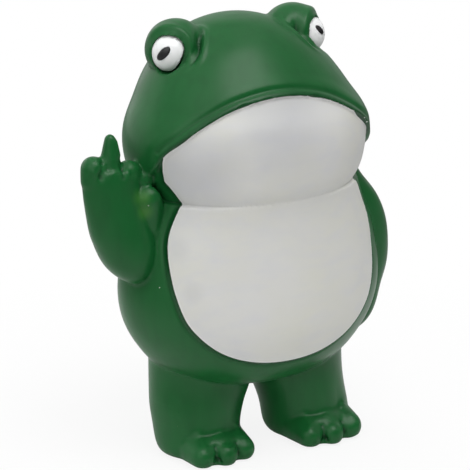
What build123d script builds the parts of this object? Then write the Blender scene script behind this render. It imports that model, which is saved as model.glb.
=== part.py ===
from build123d import *
from math import asin, cos, pi, radians, sin
import os

# All sizes are millimetres. The figurine faces -Y and its right hand is at -X. Its pieces are
# made about its middle plane, X = 0, over a floor at Z = 0, and moved to the origin at the end.

# Castings in general
wall = 4.0
glue_gap = 0.1
overrun = 40.0
oval_points = 8
quarter_turn = 90.0

# Torso casting
torso_base = 23.3
neck_height = 91.5
torso_half_width = 46.8
torso_half_depth = 33.3
neck_deck = 8.0
# share of the height, of the half width and of the half depth
torso_shares = [
    (0.000, 0.05, 0.05), (0.003, 0.20, 0.21), (0.015, 0.34, 0.36), (0.037, 0.48, 0.52),
    (0.073, 0.62, 0.66), (0.128, 0.743, 0.78), (0.194, 0.831, 0.870), (0.260, 0.897, 0.935),
    (0.333, 0.951, 0.982), (0.421, 0.988, 1.000), (0.509, 1.000, 0.990), (0.597, 0.990, 0.962),
    (0.685, 0.966, 0.930), (0.773, 0.934, 0.897), (0.846, 0.897, 0.870), (0.916, 0.859, 0.853),
    (0.963, 0.838, 0.850), (1.000, 0.816, 0.852),
]

# Head casting
crown_height = 147.8
head_half_width = 42.2
head_half_depth = 32.0
head_lean = 9.0
neck_step = 0.4
lip_proud = 1.6
# share of the height, of the half width, of the half depth and of the backward lean
head_shares = [
    (0.000, 0.864, 0.900, 0.00), (0.031, 0.896, 0.926, 0.00), (0.081, 0.933, 0.955, 0.00),
    (0.171, 0.974, 0.986, 0.05), (0.279, 0.994, 1.000, 0.11), (0.369, 0.982, 0.991, 0.19),
    (0.441, 0.948, 0.968, 0.27), (0.532, 0.876, 0.920, 0.44), (0.622, 0.806, 0.868, 0.61),
    (0.712, 0.726, 0.785, 0.76), (0.784, 0.646, 0.700, 0.86), (0.856, 0.545, 0.592, 0.92),
    (0.915, 0.424, 0.470, 0.97), (0.960, 0.290, 0.330, 0.99), (0.986, 0.170, 0.195, 1.00),
    (1.000, 0.045, 0.055, 1.00),
]
# lower edge of the cheeks, seen from the side, from front to back:
# share of the head's half depth and share of its height
cheek_front_share = -2.0
cheek_line_shares = [
    (-0.69, 0.600), (-0.64, 0.470), (-0.54, 0.405), (-0.43, 0.315), (-0.34, 0.235),
    (-0.22, 0.165), (0.00, 0.085), (0.30, 0.010), (0.60, -0.060), (1.30, -0.200),
]

# White panels, let into pockets of the two castings. Each outline is drawn on one plane in front
# of the figurine and runs back towards a flare point inside it, so the edges stand square.
panel_proud = 1.0
panel_sink = 2.0
rim_width = 1.3
flare_depth = 10.0
outline_plane = 40.0
cutter_front = 60.0
belly_flare_height = 62.0
belly_shift = 1.5
belly_half_width = 74.0
belly_low = 31.3
belly_high = 118.0
# share of the half width and share of the height from low to high, middle of the bottom first
belly_outline_shares = [
    (0.00, 0.000), (0.17, 0.007), (0.32, 0.031), (0.45, 0.072), (0.58, 0.138), (0.69, 0.214),
    (0.77, 0.308), (0.85, 0.419), (0.92, 0.547), (0.98, 0.686), (1.00, 0.802), (0.965, 0.910),
    (0.90, 0.990), (0.82, 1.080), (0.75, 1.180),
]
throat_flare_height = 104.0
throat_shift = 0.4
throat_half_width = 86.4
throat_low = 80.0
throat_high = 137.4
# share of the half width and share of the height from low to high, middle of the lip first
lip_outline_shares = [
    (0.000, 1.000), (0.105, 0.993), (0.215, 0.972), (0.350, 0.928), (0.482, 0.860),
    (0.600, 0.790), (0.720, 0.715), (0.850, 0.650), (0.955, 0.580),
]
# the side of the throat, from the corner of the mouth down to the notch at the neck and past it
throat_side_shares = [(0.990, 0.500), (1.000, 0.380), (0.985, 0.245), (0.900, 0.190),
                      (0.830, 0.120), (0.765, 0.000), (0.700, -0.150)]

# Eye domes and eyes
lid_half_width = 10.5
lid_half_depth = 10.0
lid_half_height = 10.2
right_lid_x = 22.5
left_lid_x = 21.5
lid_y = 8.3
right_lid_height = 138.2
left_lid_height = 138.7
eye_x = 25.3
eye_y = 6.5
eye_height = 138.2
eye_radius = 7.0
right_eye_turn = 40.0
left_eye_turn = 30.0
eye_half_width = 5.4
eye_half_height = 6.2
eye_seat = 3.0
# share of the half width away from the nose and share of the half height
eye_outline_shares = [
    (0.15, -0.97), (0.72, -0.78), (0.98, -0.20), (0.97, 0.28), (0.66, 0.78), (0.05, 1.00),
    (-0.60, 0.86), (-0.95, 0.42), (-0.85, -0.14), (-0.44, -0.74),
]
right_pupil_half_width = 1.35
right_pupil_half_height = 2.9
left_pupil_half_width = 1.0
left_pupil_half_height = 2.0
pupil_tilt = 44.0
right_pupil_out = 1.0
left_pupil_out = -0.6
right_pupil_up = 0.6
left_pupil_up = 2.2
pupil_sink = 0.8
pupil_proud = 0.15

# Legs and feet
leg_x = 20.2
leg_y = 0.9
leg_radius = 15.6
hip_height = 39.0
# share of the height, then shares of the radius: from the middle to the outer and inner edge, half
# depth, and how far the oval stands towards the toes
leg_shares = [
    (0.000, 0.80, 0.70, 0.75, 0.22), (0.030, 0.90, 0.80, 0.85, 0.24), (0.080, 0.95, 0.87, 0.92, 0.24),
    (0.160, 0.965, 0.90, 0.95, 0.21), (0.280, 0.955, 0.94, 0.95, 0.16), (0.380, 0.955, 1.01, 0.97, 0.12),
    (0.480, 0.965, 1.11, 0.99, 0.08), (0.560, 0.975, 1.22, 1.01, 0.04), (0.660, 0.985, 1.28, 1.03, 0.00),
    (0.780, 0.985, 1.18, 1.03, -0.02), (0.900, 0.97, 1.02, 1.00, -0.04), (1.000, 0.75, 0.85, 0.80, -0.05),
]
right_foot_turn = 2.5
left_foot_turn = 5.0
toe_tip_radius = 4.3
toe_height = 3.6
toe_reach = 18.8
side_toe_reach = 17.0
toe_pitch = 7.7
instep_radius = 7.3
instep_height = 5.3
instep_reach = 6.5
instep_pitch = 5.8
wedge_half_width = 12.2
wedge_half_depth = 9.4
wedge_half_height = 7.2
wedge_reach = 13.6
wedge_height = 3.7

# Raised right arm
raised_low = 64.6
raised_high = 104.6
raised_y = -4.0
raised_reach = 63.1
raised_half_depth = 9.4
# share of the height, shares of the reach at the outer and inner edge, share of the half depth
raised_shares = [
    (0.000, 0.750, 0.690, 0.22), (0.020, 0.777, 0.665, 0.50), (0.075, 0.826, 0.622, 0.80),
    (0.180, 0.884, 0.597, 0.98), (0.300, 0.923, 0.597, 1.00), (0.410, 0.951, 0.603, 0.96),
    (0.550, 0.973, 0.630, 0.86), (0.710, 0.990, 0.668, 0.74), (0.850, 1.000, 0.680, 0.66),
    (0.950, 0.994, 0.686, 0.58), (1.000, 0.978, 0.702, 0.46),
]
shoulder_x = -40.8
shoulder_y = -6.5
shoulder_height = 93.2
shoulder_radius = 5.2
upper_arm_x = -39.6
upper_arm_y = -5.5
upper_arm_height = 80.0
upper_arm_radius = 4.4
elbow_x = -45.7
elbow_y = -6.0
elbow_height = 75.4
elbow_half_width = 7.1
elbow_half_height = 11.0
finger_root_height = 101.0
middle_finger_x = -53.2
middle_finger_height = 114.3
middle_root_radius = 4.6
middle_tip_radius = 1.9
outer_finger_x = -59.4
outer_finger_height = 105.2
inner_finger_x = -46.7
inner_finger_height = 102.2
side_finger_radius = 4.2

# Hanging left arm
hanging_high = 95.0
hanging_low = 31.5
hanging_y = 1.0
hanging_reach = 54.8
hanging_half_depth = 9.6
# share of the way down, shares of the reach at the outer and inner edge, share of the half depth
hanging_shares = [
    (0.000, 0.715, 0.660, 0.20), (0.030, 0.755, 0.610, 0.58), (0.090, 0.797, 0.550, 0.85),
    (0.180, 0.880, 0.540, 0.98), (0.280, 0.948, 0.575, 1.00), (0.390, 0.988, 0.635, 0.98),
    (0.490, 1.000, 0.675, 0.95), (0.640, 0.989, 0.700, 0.84), (0.730, 0.958, 0.700, 0.76),
    (0.825, 0.926, 0.692, 0.76), (0.900, 0.884, 0.685, 0.72), (0.955, 0.830, 0.680, 0.55),
    (0.990, 0.775, 0.690, 0.32), (1.000, 0.755, 0.710, 0.16),
]

# Locating pins
neck_pin_diameter = 4.0
neck_pin_length = 14.0
neck_pin_circle = 22.0
neck_pin_count = 3
arm_pin_diameter = 3.0
arm_pin_length = 12.0
arm_pin_x = 43.5
arm_pin_y = -1.0
arm_pin_height = 71.5
arm_pin_pitch = 6.0
hip_pin_diameter = 4.0
hip_pin_length = 18.0
hip_pin_height = 25.0
hip_pin_pitch = 11.0
boss_wall = 2.5

# Sole pads
pad_half_width = 9.5
pad_half_depth = 8.5
pad_thickness = 1.4
pad_proud = 0.3
sole_height = pad_proud


def oval(half_width, half_depth, x, y, z):
    points = []
    for step in range(oval_points):
        turn = 2 * pi * step / oval_points
        points.append((x + half_width * cos(turn), y + half_depth * sin(turn), z))
    return Wire([Edge.make_spline(points, periodic=True)])


def oval_stack(rows):
    return Solid.make_loft([oval(*row) for row in rows])


def torso_form(grow, low=torso_base, high=neck_height):
    rows = []
    for up, wide, deep in torso_shares:
        z = low + (high - low) * up
        rows.append(((torso_half_width + grow) * wide, (torso_half_depth + grow) * deep, 0, 0, z))
    return oval_stack(rows)


def head_form(grow, low=neck_height + glue_gap, high=crown_height):
    rows = []
    for up, wide, deep, lean in head_shares:
        z = low + (high - low) * up
        half_width = (head_half_width + grow) * wide
        half_depth = (head_half_depth + grow) * deep
        rows.append((half_width, half_depth, 0, head_lean * lean, z))
    return oval_stack(rows)


def tapered_limb(start, end, start_radius, end_radius):
    # two balls and the cone that touches both
    start, end = Vector(*start), Vector(*end)
    length = (end - start).length
    lean = asin((start_radius - end_radius) / length)

    def rim(radius, along, angle):
        return Vector(radius * cos(angle), 0, along + radius * sin(angle))

    root_pole = rim(start_radius, 0, -pi / 2)
    root_side = rim(start_radius, 0, lean)
    tip_side = rim(end_radius, length, lean)
    tip_pole = rim(end_radius, length, pi / 2)
    edges = [
        Edge.make_three_point_arc(root_pole, rim(start_radius, 0, (lean - pi / 2) / 2), root_side),
        Edge.make_line(root_side, tip_side),
        Edge.make_three_point_arc(tip_side, rim(end_radius, length, (lean + pi / 2) / 2), tip_pole),
        Edge.make_line(tip_pole, root_pole),
    ]
    limb = revolve(Face(Wire(edges)), Axis.Z)
    return Plane(origin=start, z_dir=end - start).location * limb


def ellipsoid(x, y, z, half_width, half_depth, half_height):
    return Pos(x, y, z) * scale(Sphere(1), by=(half_width, half_depth, half_height))


def upright_pin(x, y, z, diameter, length):
    return Pos(x, y, z) * Cylinder(diameter / 2, length)


def sideways_pin(x, y, z, diameter, length):
    return Pos(x, y, z) * Rot(Y=quarter_turn) * Cylinder(diameter / 2, length)


def at_plane(points, flare_height, plane, grow):
    # the outline moved along its flare to another plane, and widened about its middle
    share = (flare_depth + plane) / (flare_depth + outline_plane)
    half_width = max(x for x, z in points)
    high, low = max(z for x, z in points), min(z for x, z in points)
    wide = 1 + grow / half_width
    tall = 1 + 2 * grow / (high - low)
    middle = (high + low) / 2
    moved = []
    for x, z in points:
        up = middle + (z - middle) * tall - flare_height
        moved.append(Vector(x * wide * share, -plane, flare_height + up * share))
    return moved


def belly_wire(plane, grow):
    right = [(belly_half_width * wide, belly_low + (belly_high - belly_low) * up)
             for wide, up in belly_outline_shares]
    left = [(-x, z) for x, z in reversed(right[1:])]
    points = at_plane(left + right, belly_flare_height, plane, grow)
    return Wire([Edge.make_spline(points), Edge.make_line(points[-1], points[0])])


def throat_wire(plane, grow):
    height = throat_high - throat_low
    right = [(throat_half_width * wide, throat_low + height * up) for wide, up in lip_outline_shares]
    side = [(throat_half_width * wide, throat_low + height * up) for wide, up in throat_side_shares]
    left_side = [(-x, z) for x, z in reversed(side)]
    left = [(-x, z) for x, z in reversed(right[1:])]
    points = at_plane(left_side + left + right + side, throat_flare_height, plane, grow)
    first, last = len(side), len(points) - len(side)
    edges = [Edge.make_spline(points[first:last])]
    for index in range(first):
        edges.append(Edge.make_line(points[index], points[index + 1]))
    for index in range(last - 1, len(points) - 1):
        edges.append(Edge.make_line(points[index], points[index + 1]))
    edges.append(Edge.make_line(points[-1], points[0]))
    return Wire(edges)


def belly_cutter(grow):
    near = belly_wire(0, grow)
    far = belly_wire(cutter_front, grow)
    return Pos(-belly_shift, 0, 0) * Solid.make_loft([near, far], ruled=True)


def throat_cutter(grow):
    near, far = throat_wire(0, grow), throat_wire(cutter_front, grow)
    return Pos(-throat_shift, 0, 0) * Solid.make_loft([near, far], ruled=True)


def cheek_block():
    # everything above the lower edge of the cheeks
    height = crown_height - neck_height
    points = [Vector(-overrun, head_half_depth * back, neck_height + height * up)
              for back, up in cheek_line_shares]
    front = Vector(-overrun, head_half_depth * cheek_front_share, points[0].Z)
    front_top = Vector(-overrun, front.Y, crown_height + overrun)
    back_top = Vector(-overrun, points[-1].Y, crown_height + overrun)
    edges = [
        Edge.make_spline(points), Edge.make_line(points[0], front), Edge.make_line(front, front_top),
        Edge.make_line(front_top, back_top), Edge.make_line(back_top, points[-1]),
    ]
    side = Face(Wire(edges))
    return Pos(-head_half_width, 0, 0) * extrude(side, 2 * (head_half_width + overrun), (1, 0, 0))


def eye_plane(side):
    # z looks out of the eye, y runs up and x runs level towards the left hand
    turn = radians(left_eye_turn if side > 0 else right_eye_turn)
    look = Vector(side * sin(turn), -cos(turn), 0)
    return Plane(origin=(side * eye_x, eye_y, eye_height), x_dir=Vector(0, 0, 1).cross(look), z_dir=look)


def eye_lid(side):
    if side > 0:
        x, z = left_lid_x, left_lid_height
    else:
        x, z = -right_lid_x, right_lid_height
    return ellipsoid(x, lid_y, z, lid_half_width, lid_half_depth, lid_half_height)


def eye_prism(side, grow, back, front):
    points = [Vector(side * (eye_half_width + grow) * wide, (eye_half_height + grow) * up)
              for wide, up in eye_outline_shares]
    face = Face(Wire([Edge.make_spline(points, periodic=True)]))
    return eye_plane(side).location * Pos(0, 0, -back) * extrude(face, back + front, (0, 0, 1))


def eye_ball(side, radius):
    return Pos(side * eye_x, eye_y, eye_height) * Sphere(radius)


def pupil_prism(side, grow):
    if side > 0:
        out, up = left_pupil_out, left_pupil_up
        half_width, half_height = left_pupil_half_width, left_pupil_half_height
    else:
        out, up = right_pupil_out, right_pupil_up
        half_width, half_height = right_pupil_half_width, right_pupil_half_height
    place = eye_plane(side).location * Pos(side * out, up, 0) * Rot(Z=side * pupil_tilt)
    return place * extrude(Ellipse(half_width + grow, half_height + grow), 2 * eye_radius)


def neck_pins(clearance):
    pins = []
    for index in range(neck_pin_count):
        turn = 2 * pi * index / neck_pin_count - pi / 2
        x, y = neck_pin_circle * cos(turn), neck_pin_circle * sin(turn)
        diameter = neck_pin_diameter + 2 * clearance
        pins.append(upright_pin(x, y, neck_height, diameter, neck_pin_length + 2 * clearance))
    return pins


def arm_pins(side, clearance):
    diameter = arm_pin_diameter + 2 * clearance
    length = arm_pin_length + 2 * clearance
    heights = (arm_pin_height, arm_pin_height + arm_pin_pitch)
    return [sideways_pin(side * arm_pin_x, arm_pin_y, z, diameter, length) for z in heights]


def hip_pins(side, clearance):
    diameter = hip_pin_diameter + 2 * clearance
    length = hip_pin_length + 2 * clearance
    places = (leg_y - hip_pin_pitch / 2, leg_y + hip_pin_pitch / 2)
    return [upright_pin(side * leg_x, y, hip_pin_height, diameter, length) for y in places]


def side_pins(maker, clearance):
    return maker(-1, clearance) + maker(1, clearance)


def pin_bosses():
    # each pin, thickened by the wall that is left around its hole inside the torso
    return side_pins(arm_pins, boss_wall) + side_pins(hip_pins, boss_wall)


def torso_casting():
    rim = torso_form(panel_proud) & belly_cutter(rim_width)
    cavity = torso_form(-wall, torso_base + wall, neck_height - neck_deck)
    for boss in pin_bosses():
        cavity -= boss
    casting = torso_form(0) + rim
    pocket = belly_cutter(glue_gap) - torso_form(-panel_sink)
    casting = casting - pocket - cavity
    for pin in neck_pins(glue_gap) + side_pins(arm_pins, glue_gap) + side_pins(hip_pins, glue_gap):
        casting -= pin
    return casting


def belly_panel():
    shell = torso_form(panel_proud) - torso_form(-panel_sink + glue_gap)
    return shell & belly_cutter(0)


def head_casting():
    lip = head_form(lip_proud) & cheek_block()
    rim = head_form(0) & throat_cutter(rim_width)
    casting = head_form(-neck_step) + lip + rim
    cavity = head_form(-wall - neck_step, neck_height + neck_deck, crown_height - wall)
    for side in (-1, 1):
        casting += eye_lid(side)
        cavity -= eye_ball(side, eye_radius + wall / 2)
    casting = casting - (throat_cutter(glue_gap) - head_form(-panel_sink)) - cavity
    for side in (-1, 1):
        casting -= eye_prism(side, glue_gap, eye_seat + glue_gap, overrun)
    for pin in neck_pins(glue_gap):
        casting -= pin
    return casting


def throat_panel():
    shell = head_form(0) - head_form(-panel_sink + glue_gap)
    return shell & throat_cutter(0)


def eyeball(side):
    ball = eye_ball(side, eye_radius) & eye_prism(side, 0, eye_seat, overrun)
    return ball - (pupil_prism(side, glue_gap) - eye_ball(side, eye_radius - pupil_sink - glue_gap))


def pupil(side):
    chip = pupil_prism(side, 0) & eye_ball(side, eye_radius + pupil_proud)
    return chip - eye_ball(side, eye_radius - pupil_sink)


def foot(side):
    group = ellipsoid(0, -wedge_reach, wedge_height, wedge_half_width, wedge_half_depth, wedge_half_height)
    for step, reach in ((-1, side_toe_reach), (0, toe_reach), (1, side_toe_reach)):
        root = (step * instep_pitch, -instep_reach, instep_height)
        tip = (step * toe_pitch, -reach - toe_tip_radius / 2, toe_height)
        group += tapered_limb(root, tip, instep_radius, toe_tip_radius)
    turn = left_foot_turn if side > 0 else right_foot_turn
    return Pos(side * leg_x, leg_y, 0) * Rot(Z=turn) * group


def leg(side):
    rows = []
    for up, outer, inner, deep, forward in leg_shares:
        half_width = leg_radius * (outer + inner) / 2
        x = side * (leg_x + leg_radius * (outer - inner) / 2)
        z = sole_height + (hip_height - sole_height) * up
        rows.append((half_width, leg_radius * deep, x, leg_y - leg_radius * forward, z))
    casting = oval_stack(rows) + foot(side)
    casting -= Pos(side * leg_x, leg_y, sole_height - overrun / 2) * Box(2 * overrun, 2 * overrun, overrun)
    casting -= torso_form(glue_gap)
    casting -= sole_pad(side, glue_gap)
    for pin in hip_pins(side, glue_gap):
        casting -= pin
    return casting


def sole_pad(side, clearance):
    outline = Ellipse(pad_half_width + clearance, pad_half_depth + clearance)
    return Pos(side * leg_x, leg_y, 0) * extrude(outline, pad_thickness + clearance)


def fit_to_body(limb, pins):
    limb = limb - torso_form(glue_gap) - head_form(lip_proud + glue_gap)
    for pin in pins:
        limb -= pin
    return limb


def edge_rows(shares, reach, y, half_depth, start, end, side):
    rows = []
    for along, outer, inner, deep in shares:
        half_width = reach * (outer - inner) / 2
        middle = side * reach * (outer + inner) / 2
        z = start + (end - start) * along
        rows.append((half_width, half_depth * deep, middle, y, z))
    return rows


def raised_arm():
    arm = oval_stack(edge_rows(raised_shares, raised_reach, raised_y, raised_half_depth,
                               raised_low, raised_high, -1))
    arm += ellipsoid(elbow_x, elbow_y, elbow_height, elbow_half_width, elbow_half_width, elbow_half_height)
    shoulder = (shoulder_x, shoulder_y, shoulder_height)
    upper_arm = (upper_arm_x, upper_arm_y, upper_arm_height)
    arm += tapered_limb(shoulder, upper_arm, shoulder_radius, upper_arm_radius)
    fingers = ((middle_finger_x, middle_finger_height, middle_root_radius, middle_tip_radius),
               (outer_finger_x, outer_finger_height, side_finger_radius, side_finger_radius),
               (inner_finger_x, inner_finger_height, side_finger_radius, side_finger_radius))
    for x, height, root_radius, tip_radius in fingers:
        root, tip = (x, raised_y, finger_root_height), (x, raised_y, height)
        arm += tapered_limb(root, tip, root_radius, tip_radius)
    return fit_to_body(arm, arm_pins(-1, glue_gap))


def hanging_arm():
    arm = oval_stack(edge_rows(hanging_shares, hanging_reach, hanging_y, hanging_half_depth,
                               hanging_high, hanging_low, 1))
    return fit_to_body(arm, arm_pins(1, glue_gap))


def pin_group(pins):
    return Compound(children=[pin.solids()[0] for pin in pins])


pieces = {
    "torso_casting": torso_casting(),
    "head_casting": head_casting(),
    "throat_panel": throat_panel(),
    "belly_panel": belly_panel(),
    "right_arm_raised": raised_arm(),
    "left_arm_hanging": hanging_arm(),
    "right_leg": leg(-1),
    "left_leg": leg(1),
    "right_eyeball": eyeball(-1),
    "left_eyeball": eyeball(1),
    "right_pupil": pupil(-1),
    "left_pupil": pupil(1),
    "neck_pins": pin_group(neck_pins(0)),
    "arm_pins": pin_group(side_pins(arm_pins, 0)),
    "hip_pins": pin_group(side_pins(hip_pins, 0)),
    "right_sole_pad": sole_pad(-1, 0),
    "left_sole_pad": sole_pad(1, 0),
}

# the origin is the middle of the whole figurine's box, on the floor
box = Compound(children=[Compound(children=piece.solids()) for piece in pieces.values()]).bounding_box()
to_origin = Pos(-box.center().X, -box.center().Y, -box.min.Z)
os.makedirs("parts", exist_ok=True)
for name, piece in pieces.items():
    export_step(to_origin * Compound(children=piece.solids()), "parts/" + name + ".step")
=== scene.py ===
from math import cos, pi, radians, sin

import bmesh
import bpy
import numpy as np
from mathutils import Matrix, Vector
from mathutils.bvhtree import BVHTree


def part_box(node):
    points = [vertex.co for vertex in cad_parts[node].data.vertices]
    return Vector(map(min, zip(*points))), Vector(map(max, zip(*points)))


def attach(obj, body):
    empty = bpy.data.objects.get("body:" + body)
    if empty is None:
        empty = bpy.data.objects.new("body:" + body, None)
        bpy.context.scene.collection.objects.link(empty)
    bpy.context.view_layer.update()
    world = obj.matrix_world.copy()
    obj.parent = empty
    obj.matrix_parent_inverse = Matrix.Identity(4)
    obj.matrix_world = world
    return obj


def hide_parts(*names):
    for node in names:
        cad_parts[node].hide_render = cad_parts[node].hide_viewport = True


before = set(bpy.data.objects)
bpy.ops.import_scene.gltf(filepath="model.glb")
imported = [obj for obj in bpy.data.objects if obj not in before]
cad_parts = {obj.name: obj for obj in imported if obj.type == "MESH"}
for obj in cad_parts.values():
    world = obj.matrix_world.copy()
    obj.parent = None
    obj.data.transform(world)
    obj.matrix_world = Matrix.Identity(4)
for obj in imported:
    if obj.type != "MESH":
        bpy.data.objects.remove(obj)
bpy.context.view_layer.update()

# The figurine faces -Y and its raised right hand is at -X. Lengths with MM are in metres. All others
# on the figurine are in millimetres, and its places are given from the foot of its middle line.
MM = 0.001

# The middle of the left foot, and the middle line itself, found from the torso and the pad under that foot
FOOT_X, FOOT_Y = 20.2, 0.9
torso_low, torso_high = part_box("torso_casting")
pad_low, pad_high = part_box("left_sole_pad")
MIDDLE = Vector(((torso_low.x + torso_high.x) / 2, (pad_low.y + pad_high.y) / 2 - FOOT_Y * MM, 0))

CASTING_NODES = ("torso_casting", "head_casting", "right_arm_raised", "left_arm_hanging",
                 "right_leg", "left_leg")
PANEL_NODES = ("throat_panel", "belly_panel")
PIN_NODES = ("neck_pins", "arm_pins", "hip_pins")

# -1 is the figurine's right side and 1 its left. 0 is a limb whose cutter isn't kept to one side.
EYEBALL_SIDES = {"right_eyeball": -1, "left_eyeball": 1}
LIMB_SIDES = {"right_arm_raised": 0, "left_arm_hanging": 0, "right_leg": -1, "left_leg": 1}

# The skin that all castings and panels share. It is smoothed as a whole, and then more where it is soft,
# which begins at the first distance from the panels and the eyes and is full at the second.
SKIN_VOXEL = 0.5 * MM
SMOOTHING_FACTOR = 0.5
FIRST_SMOOTHING = 3
SOFT_SMOOTHING = 14
SOFT_BETWEEN, SOFT_REACH = (3.5, 7.0), 8
SHARP_ANGLE = radians(30)

# The forms that cut the skin apart again
CUTTER_VOXEL = 1.0 * MM
CUTTER_GROWTH = 0.9 * MM
NECK_HEIGHT = 91.55 * MM
LARGE = 400 * MM
MERGE = 0.002 * MM


# Meshes

def at(place):
    """A place on the figurine, in the scene's metres."""
    return MIDDLE + Vector(place) * MM


def bare_mesh(nodes):
    """The merged shells of some CAD nodes, in one bmesh."""
    shell = bmesh.new()
    for node in nodes:
        shell.from_mesh(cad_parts[node].data)
    bmesh.ops.remove_doubles(shell, verts=shell.verts, dist=MERGE)
    return shell


def new_object(name, shell):
    """An object in the scene, made from a bmesh that is used up."""
    mesh = bpy.data.meshes.new(name)
    shell.to_mesh(mesh)
    shell.free()
    made = bpy.data.objects.new(name, mesh)
    bpy.context.scene.collection.objects.link(made)
    return made


def with_modifiers(shell, *modifiers, soft=None):
    """The shell after some modifiers, each a kind and its settings, with each vertex's softness if given."""
    if soft is not None:
        layer = shell.verts.layers.deform.verify()
        for vert, weight in zip(shell.verts, soft):
            vert[layer][0] = weight
    made = new_object("work", shell)
    if soft is not None:
        made.vertex_groups.new(name="soft")
    for kind, settings in modifiers:
        modifier = made.modifiers.new(kind, kind)
        for name, value in settings.items():
            setattr(modifier, name, value)
    bpy.context.view_layer.update()
    result = bmesh.new()
    result.from_object(made, bpy.context.evaluated_depsgraph_get())
    bpy.data.objects.remove(made)
    return result


def remeshed(size):
    return "REMESH", {"mode": "VOXEL", "voxel_size": size, "use_smooth_shade": True}


def smoothed(times, group=""):
    return "SMOOTH", {"factor": SMOOTHING_FACTOR, "iterations": times, "vertex_group": group}


def largest_part(shell):
    """Removes the closed pockets and leaves the outer skin."""
    waiting = set(shell.verts)
    best = set()
    while waiting:
        start = waiting.pop()
        part, border = {start}, [start]
        while border:
            for edge in border.pop().link_edges:
                for vert in edge.verts:
                    if vert in waiting:
                        waiting.discard(vert)
                        part.add(vert)
                        border.append(vert)
        if len(part) > len(best):
            best = part
    bmesh.ops.delete(shell, geom=[vert for vert in shell.verts if vert not in best], context="VERTS")
    return shell


def cut(shell, cutter, operation):
    """The shell with the cutter's volume kept, added or taken away. Both stay usable."""
    tool = new_object("cutter", cutter.copy())
    settings = {"operation": operation, "object": tool, "solver": "MANIFOLD"}
    result = with_modifiers(shell.copy(), ("BOOLEAN", settings))
    bpy.data.objects.remove(tool)
    return result


def limb_cutter(node, side):
    """A closed form a little larger than a limb. A leg's is kept to its side of the middle plane."""
    shell = with_modifiers(bare_mesh([node]), remeshed(CUTTER_VOXEL),
                           ("DISPLACE", {"strength": CUTTER_GROWTH, "mid_level": 0}), remeshed(CUTTER_VOXEL))
    largest_part(shell)
    if side:
        rim = bmesh.ops.bisect_plane(
            shell, geom=shell.verts[:] + shell.edges[:] + shell.faces[:], dist=MERGE,
            plane_co=MIDDLE, plane_no=(-side, 0, 0), clear_outer=True)["geom_cut"]
        bmesh.ops.holes_fill(shell, edges=[part for part in rim if isinstance(part, bmesh.types.BMEdge)])
        bmesh.ops.triangulate(shell, faces=shell.faces)
    return shell


def slab(low, high):
    """A wide block between two heights."""
    shell = bmesh.new()
    bmesh.ops.create_cube(shell, size=1)
    bmesh.ops.scale(shell, verts=shell.verts, vec=(LARGE, LARGE, high - low))
    bmesh.ops.translate(shell, verts=shell.verts, vec=(0, 0, (low + high) / 2))
    return shell


# The side walls of each white panel run to a point inside the figurine
FLARE_Y = 10
PANEL_FLARES = {"throat_panel": at((-0.4, FLARE_Y, 104)), "belly_panel": at((-1.5, FLARE_Y, 62))}
PANEL_STRETCH = 1.035


def panel_cutter(node):
    """The panel with a second, larger one in front of it. Both side walls lie on the same flare."""
    flare = PANEL_FLARES[node]
    larger = bare_mesh([node])
    for vert in larger.verts:
        vert.co = flare + (vert.co - flare) * PANEL_STRETCH
    return cut(bare_mesh([node]), larger, "UNION")


# Measures on a skin

def spots(shell):
    """The places of the vertices on the figurine."""
    return np.array([vert.co - MIDDLE for vert in shell.verts]) / MM


def distances(points, nodes, reach):
    """How far each point is from the surface of some CAD nodes, and how far above the nearest place on it.

    Both are the reach itself where nothing is that near."""
    tree = BVHTree.FromBMesh(bare_mesh(nodes))
    result = np.full((len(points), 2), float(reach))
    for index, point in enumerate(points):
        nearest, _, _, away = tree.find_nearest(at(point), reach * MM)
        if nearest is not None:
            result[index] = away / MM, point[2] - nearest.z / MM
    return result.T


def ridge(value, middle, width):
    """1 at the middle, falling away to 0 on both sides."""
    return np.exp(-((value - middle) / width) ** 2)


def rise(value, low, high):
    """Runs softly from 0, up to the low end, to 1, from the high end."""
    share = np.clip((value - low) / (high - low), 0, 1)
    return share * share * (3 - 2 * share)


def push(shell, amounts):
    """Moves each vertex out along its normal."""
    shell.normal_update()
    for vert, amount in zip(shell.verts, amounts):
        vert.co += vert.normal * (amount * MM)


# Finishes

class Reading:
    """A value that varies over a surface. Sums and products of readings add the nodes for them."""

    def __init__(self, finish, socket):
        self.finish, self.socket = finish, socket

    def maths(self, operation, *values):
        return self.finish.node("Math", {"operation": operation}, dict(enumerate(values)))

    def __add__(self, other):
        return self.maths("ADD", self, other)

    def __rsub__(self, other):
        return self.maths("SUBTRACT", other, self)

    def __mul__(self, other):
        return self.maths("MULTIPLY", self, other)

    __radd__, __rmul__ = __add__, __mul__


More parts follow.
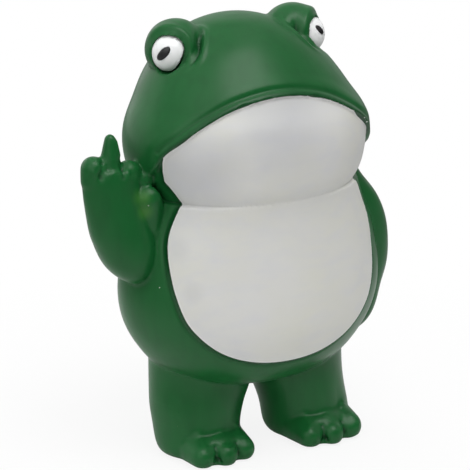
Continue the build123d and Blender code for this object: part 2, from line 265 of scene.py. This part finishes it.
class Finish:
    """The nodes of one material, or of the room around the figurine."""

    def __init__(self, owner):
        owner.use_nodes = True
        self.owner, self.tree = owner, owner.node_tree
        self.tree.nodes.clear()

    def node(self, kind, settings, values, output=0):
        """A node with its settings, then the numbers, colours or readings of its sockets."""
        made = self.tree.nodes.new("ShaderNode" + kind)
        for name, value in settings.items():
            if name == "stops":
                for stop, (place, shade) in zip(made.color_ramp.elements, value):
                    stop.position, stop.color = place, (shade, shade, shade, 1)
            else:
                setattr(made, name, value)
        for key, value in values.items():
            if isinstance(value, Reading):
                self.tree.links.new(value.socket, made.inputs[key])
            else:
                made.inputs[key].default_value = value
        return Reading(self, made.outputs[output]) if len(made.outputs) else None

    def spot(self):
        return self.node("TexCoord", {}, {}, "Object")

    def clouds(self, size, detail=3, squeeze=(1, 1, 1), seed=0):
        """Soft noise, about 0 to 1, in patches of about a size, shorter where the squeeze is over 1."""
        spot = self.node("Mapping", {}, {"Vector": self.spot(), "Scale": squeeze})
        return self.node("TexNoise", {"noise_dimensions": "4D"}, {
            "Vector": spot, "W": seed, "Scale": 1 / (size * MM), "Detail": detail})

    def share(self, reading, low, high, most=1.0):
        """0 up to the low end, rising evenly to the most at the high end and beyond."""
        return self.node("ValToRGB", {"stops": ((low, 0), (high, most))}, {0: reading})

    def between(self, reading, low, high, first=0.0, last=1.0):
        """Runs softly from the first value, up to the low end, to the last, from the high end."""
        return self.node("MapRange", {"interpolation_type": "SMOOTHSTEP"}, {
            "Value": reading, "From Min": low, "From Max": high, "To Min": first, "To Max": last})

    def near(self, place, radius):
        """1 at a place on the figurine, 0 beyond the radius."""
        away = self.node("VectorMath", {"operation": "DISTANCE"}, {0: self.spot(), 1: at(place)}, "Value")
        return self.between(away, 0.0, radius * MM, first=1.0, last=0.0)

    def mark(self, name):
        """A mark that install puts on a piece, or 0 on a piece without it."""
        return self.node("Attribute", {"attribute_name": name}, {}, "Fac")

    def mix(self, share, first, second):
        return self.node("Mix", {"data_type": "RGBA"}, {0: share, 6: first, 7: second}, 2)

    def painted(self, shade, rough, height, strength, depth, constants):
        """Ends a material in one shader, with the height as its bump."""
        bump = self.node("Bump", {}, {"Strength": strength, "Distance": depth * MM, "Height": height})
        self.finish(self.node("BsdfPrincipled", {}, {
            "Base Color": shade, "Roughness": rough, "Normal": bump, **constants}))
        return self.owner

    def finish(self, shader, kind="Material"):
        self.node("Output" + kind, {}, {"Surface": shader})


def new_finish(name):
    return Finish(bpy.data.materials.new(name))


def colour(red, green, blue):
    return (red, green, blue, 1)


GREEN = colour(0.006, 0.094, 0.020)
GREEN_DARK = colour(0.003, 0.042, 0.011)
GREEN_LIGHT = colour(0.012, 0.122, 0.031)
# The lighter, yellower green of the painted highlight on the shoulder
GREEN_SHOULDER_HIGHLIGHT = colour(0.050, 0.190, 0.028)
WHITE = colour(0.68, 0.68, 0.66)
WHITE_COOL = colour(0.60, 0.61, 0.67)
WHITE_WARM = colour(0.67, 0.67, 0.61)
# The bare white of chips in the green, and of the painted highlight along the white's edge
CHIP_AND_HIGHLIGHT_WHITE = colour(0.80, 0.80, 0.79)
# The grey of painted shade on the white
WHITE_SHADE_GREY = colour(0.36, 0.37, 0.42)
EYE_WHITE = colour(0.93, 0.94, 0.94)
PUPIL_BLACK = colour(0.012, 0.012, 0.013)
PAD_BLACK = colour(0.03, 0.03, 0.03)
STEEL = colour(0.55, 0.55, 0.56)

# Brush strokes run up and down on the green and across on the white, and the pins are turned
BRUSHED_DOWN = (1, 1, 0.22)
BRUSHED_ACROSS = (0.3, 1, 1)
TURNED = (1, 1, 8)

# Marks on the paint, with their radius: a lighter, yellower painted highlight on the shoulder, small bare
# chips, and grey painted shade on the white, with their strength
SHOULDER_HIGHLIGHTS = (((-45.0, -10.5, 95.0), 4.5), ((-44.0, -10.5, 90.0), 4.0))
SHOULDER_HIGHLIGHT_SHARE = 0.75
CHIPS = (((-21.5, -22.0, 1.4), 0.7), ((35.7, -16.5, 112.8), 0.6), ((37.4, -15.2, 110.8), 0.7),
         ((36.6, -15.8, 111.8), 0.5), ((-40.9, -14.4, 64.6), 0.3), ((-43.0, -11.0, 92.2), 0.25))
WHITE_PAINTED_SHADES = (((-31.0, -20.0, 106.0), 24.0, 0.36), ((-4.0, -30.0, 124.0), 34.0, 0.42),
           ((-33.0, -23.0, 64.0), 6.0, 0.16), ((-36.0, -18.0, 78.0), 7.0, 0.16))

# A flat place reads as 0.5, so that a ramp can tell hollows from raised places. The green gets painted shade
# in the hollows and a painted highlight on raised places.
FLAT = 0.5
HOLLOW_GAIN = 2.5
# How much painted shade the green gets beside the white, and how much painted highlight the white gets at
# its edge
EDGE_SHADE_SHARE = 0.8
EDGE_HIGHLIGHT_SHARE = 0.6


def green_paint():
    """Satin green, with painted shade in the hollows and beside the white, and a painted highlight on what
    stands out.
    """
    paint = new_finish("green_paint")
    patches = paint.clouds(size=26)
    strokes = paint.clouds(size=3, detail=4, squeeze=BRUSHED_DOWN, seed=2)
    grain = paint.clouds(size=0.8, seed=5)
    hollow = HOLLOW_GAIN * paint.mark("hollow")
    shade = paint.mix(paint.share(patches, low=0.35, high=0.7, most=0.55), GREEN, GREEN_LIGHT)
    shade = paint.mix(paint.share(strokes, low=0.45, high=0.8, most=0.25), shade, GREEN_DARK)
    # Painted shade in the hollows, and a painted highlight on what stands out
    shade = paint.mix(paint.share(FLAT + hollow, low=0.52, high=0.8, most=0.8), shade, GREEN_DARK)
    shade = paint.mix(paint.share(FLAT - hollow, low=0.55, high=0.9, most=0.5), shade, GREEN_LIGHT)
    # Painted shade on the green beside the white, under the lip and round the belly
    shade = paint.mix(EDGE_SHADE_SHARE * paint.mark("edge"), shade, GREEN_DARK)
    # A painted highlight on the shoulder
    for place, radius in SHOULDER_HIGHLIGHTS:
        shade = paint.mix(SHOULDER_HIGHLIGHT_SHARE * paint.near(place, radius), shade, GREEN_SHOULDER_HIGHLIGHT)
    for place, radius in CHIPS:
        chip = paint.share(paint.near(place, radius) + 0.5 * grain, low=0.55, high=0.7)
        shade = paint.mix(chip, shade, CHIP_AND_HIGHLIGHT_WHITE)
    return paint.painted(
        shade, rough=0.27 + 0.08 * strokes + 0.05 * grain, height=0.6 * strokes + 0.4 * grain,
        strength=0.12, depth=0.3, constants={"Specular IOR Level": 0.26})


def white_paint():
    """Satin off-white with cool and warm patches, grey painted shade in places and a painted highlight along
    its edge.
    """
    paint = new_finish("white_paint")
    patches = paint.clouds(size=30, seed=3)
    strokes = paint.clouds(size=4, detail=4, squeeze=BRUSHED_ACROSS, seed=4)
    grain = paint.clouds(size=0.7, seed=6)
    shade = paint.mix(paint.share(patches, low=0.4, high=0.65), WHITE, WHITE_WARM)
    shade = paint.mix(paint.share(strokes, low=0.45, high=0.75, most=0.35), shade, WHITE_COOL)
    # Grey painted shade on the white
    for place, radius, strength in WHITE_PAINTED_SHADES:
        cloud = paint.near(place, radius) * (0.6 + 0.5 * patches)
        shade = paint.mix(paint.share(cloud, low=0.1, high=0.7, most=strength), shade, WHITE_SHADE_GREY)
    # A painted highlight along the white's edge
    shade = paint.mix(EDGE_HIGHLIGHT_SHARE * paint.mark("edge"), shade, CHIP_AND_HIGHLIGHT_WHITE)
    return paint.painted(
        shade, rough=0.32 + 0.12 * strokes, height=0.7 * strokes + 0.3 * grain,
        strength=0.10, depth=0.3, constants={})


def plain_finish(name, shade, rough, metallic=0.0, squeeze=(1, 1, 1)):
    """One colour with a fine grain."""
    plain = new_finish(name)
    grain = plain.clouds(size=1, squeeze=squeeze)
    return plain.painted(
        shade, rough=rough + 0.05 * grain, height=grain,
        strength=0.08, depth=0.2, constants={"Metallic": metallic})


FINISHES = {
    "green_paint": green_paint(),
    "white_paint": white_paint(),
    "eye_white": plain_finish("eye_white", EYE_WHITE, rough=0.22),
    "pupil_black": plain_finish("pupil_black", PUPIL_BLACK, rough=0.18),
    "sole_pad": plain_finish("sole_pad", PAD_BLACK, rough=0.8),
    "pin_steel": plain_finish("pin_steel", STEEL, rough=0.28, metallic=1.0, squeeze=TURNED),
}


# Pieces in the scene

# The skin is smoothed this many times more to find its hollows, which the green paint darkens as painted
# shade
HOLLOW_SMOOTHING = 6

# The edge mark runs from 1 to 0 over these distances from the piece on the other side of the paint line. It
# gives the green painted shade there, and the white a painted highlight.
PANEL_EDGE = 0.25, 0.6
CASTING_EDGE = 0.6, 2.8
EDGE_REACH = 6


def hollows(shell):
    """How far each vertex lies in a hollow, found by smoothing a copy."""
    eased = with_modifiers(shell.copy(), smoothed(HOLLOW_SMOOTHING))
    shell.normal_update()
    depths = [(after.co - vert.co).dot(vert.normal) / MM for vert, after in zip(shell.verts, eased.verts)]
    eased.free()
    return depths


def install(shell, node, slot, neighbour=None, edge=None):
    """Puts a finished piece in the scene in place of its CAD node, with the marks that its finish reads."""
    marks = {"hollow": hollows(shell)}
    if neighbour:
        marks["edge"] = 1 - rise(distances(spots(shell), [neighbour], EDGE_REACH)[0], *edge)
    made = new_object(node + "_finished", shell)
    for name, values in marks.items():
        made.data.attributes.new(name, "FLOAT", "POINT").data.foreach_set("value", values)
    made.data.materials.append(FINISHES[slot])
    made.data.shade_smooth()
    made.data.set_sharp_from_angle(angle=SHARP_ANGLE)
    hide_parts(node)
    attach(made, "root")


# The relief of the skin. Each part of it gives how far it stands out, its distance from the piece that
# it runs along, and its width.

def relief(beside, stands, distance, width):
    return stands * ridge(beside, distance, width)


# The bead, the valley and the ridge along the lip. They are carved where the skin lies above the throat
# panel: the slope is the height above it as a share of the distance from it, at first and in full.
LIP_RELIEF = ((0.14, 1.2, 0.8), (-0.46, 3.0, 0.9), (0.16, 5.6, 1.9))
LIP_SLOPE = 0.1, 0.6
LIP_REACH, LIP_END = 12, 11
LEAST_DISTANCE = 0.01


def carve_lip(shell):
    """The relief of the green lip over the white throat."""
    beside, above = distances(spots(shell), ["throat_panel"], LIP_REACH)
    lip = rise(above / np.maximum(beside, LEAST_DISTANCE), *LIP_SLOPE) * (beside < LIP_END)
    push(shell, lip * sum(relief(beside, *part) for part in LIP_RELIEF))


# The folds round an eye, which is turned outwards: the rim of the lid, a crease and a ridge towards the
# nose, and the socket. Their angles, in degrees, go round the eye from the nose up over the top.
EYE_X, EYE_Y, EYE_HEIGHT = 25.3, 6.5, 138.2
EYE_TURNS = {-1: radians(40), 1: radians(30)}
FOLDS_WITHIN, LID_REACH = 22, 16
LID_RIM, RIM_FROM, RIM_TO = (0.80, 2.4, 0.9), (-25, 5), (130, 170)
NOSE_CREASE, NOSE_RIDGE, NOSE_ANGLE, NOSE_SPREAD = (-1.25, 4.8, 0.75), (0.65, 6.8, 1.0), 16, 26
SOCKET, SOCKET_FROM, SOCKET_TO = (-0.75, 0.8, 1.3), (-130, -80), (40, 80)


def carve_eyelids(shell, node, side):
    """The folds of one eye dome, told from the middle of the dome and from its eyeball."""
    points = spots(shell)
    turn = EYE_TURNS[side]
    from_eye = points - np.array((side * EYE_X, EYE_Y, EYE_HEIGHT))
    outward = side * cos(turn) * from_eye[:, 0] + sin(turn) * from_eye[:, 1]
    angle = np.degrees(np.arctan2(from_eye[:, 2], -outward))
    around = np.linalg.norm(from_eye, axis=1) < FOLDS_WITHIN
    beside = np.zeros(len(points))
    beside[around] = distances(points[around], [node], LID_REACH)[0]
    rim = rise(angle, *RIM_FROM) * (1 - rise(angle, *RIM_TO))
    nose = ridge(angle, NOSE_ANGLE, NOSE_SPREAD)
    socket = rise(angle, *SOCKET_FROM) * (1 - rise(angle, *SOCKET_TO))
    amount = rim * relief(beside, *LID_RIM) + socket * relief(beside, *SOCKET)
    amount += nose * (relief(beside, *NOSE_CREASE) + relief(beside, *NOSE_RIDGE))
    push(shell, amount * around)


# The fine groove where the belly's raised surround stands on the torso, which ends below the neck
SURROUND_GROOVE, SURROUND_REACH = (-0.35, 2.1, 0.55), 6
SURROUND_TOP = 88, 92


def carve_surround(shell):
    """The groove round the belly, on the torso only."""
    points = spots(shell)
    beside = distances(points, ["belly_panel"], SURROUND_REACH)[0]
    push(shell, relief(beside, *SURROUND_GROOVE) * (1 - rise(points[:, 2], *SURROUND_TOP)))


# The soles stay flat: the relief of the legs and feet fades out over these heights
SOLE_FADE = 0.4, 1.8

# The outer side of each ankle: how far it stands out, the height of its fullest place and its width
ANKLES = {-1: (1.1, 16, 8), 1: (1.3, 9, 8)}
ANKLE_SIDE = 27, 33


def fill_ankles(shell):
    """The fullness on the outer side of each leg, above the foot."""
    points = spots(shell)
    height = points[:, 2]
    amount = sum(relief(height, *fullness) * rise(side * points[:, 0], *ANKLE_SIDE)
                 for side, fullness in ANKLES.items())
    push(shell, amount * rise(height, *SOLE_FADE))


# Creases and fills of the raised hand and arm: from one place to another, their width, and how far they
# stand out
HAND_LINES = (
    ((-57.6, -6.5, 107.4), (-59.2, -8.6, 103.2), 0.9, -0.7),
    ((-50.4, -7.0, 106.2), (-51.2, -8.8, 102.4), 0.9, -0.7),
    ((-54.2, -9.0, 104.5), (-54.4, -7.0, 113.5), 0.9, 0.45),
    ((-61.0, -8.0, 105.2), (-60.2, -8.8, 102.6), 0.8, 0.30),
    ((-48.8, -8.6, 103.8), (-49.6, -8.8, 101.6), 0.8, 0.30),
    ((-51.7, -6.0, 113.6), (-51.2, -6.5, 109.5), 1.2, 0.8),
    ((-41.6, -12.2, 87.5), (-40.2, -12.6, 84.0), 0.7, 0.35),
)

# Lines down each foot, told from its middle: how far across they run and their width, then the reach
# forward, the height and how far they stand out at each of their points
FOOT_TURNS = {-1: radians(2.5), 1: radians(5.0)}
TOE_GROOVES, GROOVE_WIDTH = (-3.9, 3.9), 0.95
GROOVE_POINTS = ((13.2, 9.8, -0.1), (17.0, 8.2, -0.9), (20.5, 6.6, -1.5), (23.0, 2.0, -1.5))
TOE_RIDGES, RIDGE_WIDTH = (-7.4, 0, 7.4), 1.7
RIDGE_POINTS = ((12.0, 10.6, 0.2), (15.0, 9.6, 0.7), (18.5, 8.0, 0.35), (21.5, 6.2, -0.3))


def hand_lines():
    for start, end, width, stands in HAND_LINES:
        yield start, end, width, stands, stands


def foot_lines(across, points, width):
    """The same line down both feet, a stretch at a time."""
    for side, turn in FOOT_TURNS.items():
        ends = [((side * FOOT_X + across * cos(turn) + reach * sin(turn),
                  FOOT_Y + across * sin(turn) - reach * cos(turn), height), stands)
                for reach, height, stands in points]
        for (start, first), (end, last) in zip(ends, ends[1:]):
            yield start, end, width, first, last


def toe_lines():
    """The grooves between the toes and the ridge along each toe."""
    for across in TOE_GROOVES:
        yield from foot_lines(across, GROOVE_POINTS, GROOVE_WIDTH)
    for across in TOE_RIDGES:
        yield from foot_lines(across, RIDGE_POINTS, RIDGE_WIDTH)


def carve_lines(shell, lines):
    """Raises or sinks the skin along some lines. Where lines meet, the highest and the deepest add up."""
    points = spots(shell)
    raised, sunk = np.zeros(len(points)), np.zeros(len(points))
    for start, end, width, first, last in lines:
        start, end = np.array(start), np.array(end)
        line = end - start
        along = np.clip((points - start) @ line / (line @ line), 0, 1)
        away = np.linalg.norm(points - start - along[:, None] * line, axis=1)
        amount = (first + (last - first) * along) * ridge(away, 0, width)
        raised, sunk = np.maximum(raised, amount), np.minimum(sunk, amount)
    push(shell, (raised + sunk) * rise(points[:, 2], *SOLE_FADE))


# A ball of filler in the deep corner between the raised hand, the shoulder and the cheek
CORNER_FILLER, FILLER_RADIUS = (-41.6, -4.6, 99.3), 3.6
FILLER_SUBDIVISIONS = 4


def soften(shell):
    """Smooths the skin, but not beside the panels and the eyes."""
    beside = distances(spots(shell), PANEL_NODES + tuple(EYEBALL_SIDES), SOFT_REACH)[0]
    return with_modifiers(shell, smoothed(SOFT_SMOOTHING, "soft"), soft=rise(beside, *SOFT_BETWEEN))


def skin():
    """All castings and panels in one closed skin, so that their joints run into each other softly."""
    shell = bare_mesh(CASTING_NODES + PANEL_NODES)
    filler = bmesh.ops.create_icosphere(shell, subdivisions=FILLER_SUBDIVISIONS, radius=FILLER_RADIUS * MM)
    bmesh.ops.translate(shell, verts=filler["verts"], vec=at(CORNER_FILLER))
    shell = with_modifiers(shell, remeshed(SKIN_VOXEL))
    shell = with_modifiers(largest_part(shell), smoothed(FIRST_SMOOTHING))
    shell = soften(shell)
    carve_lip(shell)
    for node, side in EYEBALL_SIDES.items():
        carve_eyelids(shell, node, side)
    carve_surround(shell)
    carve_lines(shell, [*hand_lines(), *toe_lines()])
    fill_ankles(shell)
    return shell


# The castings and panels, cut from the skin
body = skin()
for node, side in LIMB_SIDES.items():
    cutter = limb_cutter(node, side)
    install(cut(body, cutter, "INTERSECT"), node, "green_paint")
    body = cut(body, cutter, "DIFFERENCE")
upper = cut(body, slab(NECK_HEIGHT, LARGE), "INTERSECT")
lower = cut(body, slab(-LARGE, NECK_HEIGHT), "INTERSECT")
for whole, casting, panel in (
        (upper, "head_casting", "throat_panel"), (lower, "torso_casting", "belly_panel")):
    cutter = panel_cutter(panel)
    install(cut(whole, cutter, "INTERSECT"), panel, "white_paint", casting, PANEL_EDGE)
    install(cut(whole, cutter, "DIFFERENCE"), casting, "green_paint", panel, CASTING_EDGE)

# The eyes and the pads keep their own shape, and the hidden pins only get their steel
for side in ("right", "left"):
    for part, slot in (("eyeball", "eye_white"), ("pupil", "pupil_black"), ("sole_pad", "sole_pad")):
        node = side + "_" + part
        install(bare_mesh([node]), node, slot)
for node in PIN_NODES:
    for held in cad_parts[node].material_slots:
        held.material = FINISHES["pin_steel"]


# The floor and the room

# Metres from the middle of the floor: where the shaded paper gives way to plain white for the camera,
# and where it darkens for the light that it throws back
FLOOR_SIZE = 6.0
PAPER_FADE = 0.05, 0.20
PAPER_DARKENS = 0.10, 0.35
PAPER_WHITE = colour(1, 1, 1)
PAPER_PALE = colour(0.85, 0.85, 0.85)
PAPER_GREY = colour(0.35, 0.35, 0.35)
WHITENED_NEAR = 0.86
WHITE_STRENGTH = 1.0
ROOM_LEVEL = 0.08


def floor_finish():
    """Paper that keeps the figurine's shadow and is plain white to the camera further out."""
    paper = new_finish("floor")
    away = paper.node("VectorMath", {"operation": "LENGTH"}, {0: paper.spot()}, "Value")
    seen = paper.node("LightPath", {}, {}, "Is Camera Ray")
    whitened = WHITENED_NEAR + (1 - WHITENED_NEAR) * paper.between(away, *PAPER_FADE)
    shade = paper.mix(paper.between(away, *PAPER_DARKENS), PAPER_PALE, PAPER_GREY)
    matt = paper.node("BsdfDiffuse", {}, {"Color": shade})
    bright = paper.node("Emission", {}, {"Color": PAPER_WHITE, "Strength": WHITE_STRENGTH})
    paper.finish(paper.node("MixShader", {}, {0: whitened * seen, 1: matt, 2: bright}))
    return paper.owner


def room_finish(world):
    """A dim room that is plain white to the camera."""
    room = Finish(world)
    seen = room.node("LightPath", {}, {}, "Is Camera Ray")
    dim = room.node("Background", {}, {"Color": PAPER_WHITE, "Strength": ROOM_LEVEL})
    bright = room.node("Background", {}, {"Color": PAPER_WHITE, "Strength": WHITE_STRENGTH})
    room.finish(room.node("MixShader", {}, {0: seen, 1: dim, 2: bright}), "World")


sheet = bmesh.new()
bmesh.ops.create_grid(sheet, size=FLOOR_SIZE / 2)
floor = new_object("floor", sheet)
floor.data.materials.append(floor_finish())

bpy.context.scene.world = bpy.data.worlds.new("studio")
room_finish(bpy.context.scene.world)


# The camera and the lamps

CAMERA_AZIMUTH = -28.5
CAMERA_ELEVATION = 17.64
CAMERA_DISTANCE = 1015 * MM
CAMERA_AIM = at((-4.879, 0, 73.256))
PHOTO_PIXELS = 470
FOCAL_PIXELS = 3008
SENSOR_MM = 36
CLIP_END = 20

# Azimuth and elevation in degrees, distance and width in metres, and level, where level 1 shows a colour
# that faces the lamp as it is written
LAMPS = {
    "front_high": (-40, 42, 1.6, 1.5, 0.20),
    "left_front": (-60, 12, 1.6, 1.8, 0.17),
    "overhead": (14, 64, 1.0, 0.62, 0.50),
    "top_left": (-85, 50, 1.6, 2.8, 0.36),
    "top": (-50, 80, 1.6, 2.4, 0.26),
    "top_right": (80, 45, 1.6, 2.2, 0.23),
    "top_back": (180, 55, 1.6, 2.2, 0.21),
    "rear_left": (-150, 5, 1.6, 2.2, 0.70),
    "rear_right": (145, 5, 1.6, 2.2, 0.30),
}


def away_from(azimuth, elevation):
    """The direction in which a lamp or the camera stands. Azimuth 0 looks along +Y."""
    turn, lift = radians(azimuth), radians(elevation)
    return Vector((sin(turn) * cos(lift), -cos(turn) * cos(lift), sin(lift)))


def stand(name, data, azimuth, elevation, distance):
    """Puts a lamp or the camera in its place, facing the figurine."""
    made = bpy.data.objects.new(name, data)
    made.location = CAMERA_AIM + distance * away_from(azimuth, elevation)
    made.rotation_euler = (made.location - CAMERA_AIM).to_track_quat("Z", "Y").to_euler()
    bpy.context.scene.collection.objects.link(made)
    return made


for name, (azimuth, elevation, distance, width, level) in LAMPS.items():
    lamp = bpy.data.lights.new(name, "AREA")
    lamp.size = width
    lamp.energy = level * pi ** 2 * distance ** 2
    stand(name, lamp, azimuth, elevation, distance)

camera = bpy.data.cameras.new("camera")
camera.sensor_width = SENSOR_MM
camera.lens = FOCAL_PIXELS / PHOTO_PIXELS * SENSOR_MM
camera.clip_end = CLIP_END
bpy.context.scene.camera = stand("camera", camera, CAMERA_AZIMUTH, CAMERA_ELEVATION, CAMERA_DISTANCE)
bpy.context.scene.view_settings.view_transform = "Standard"
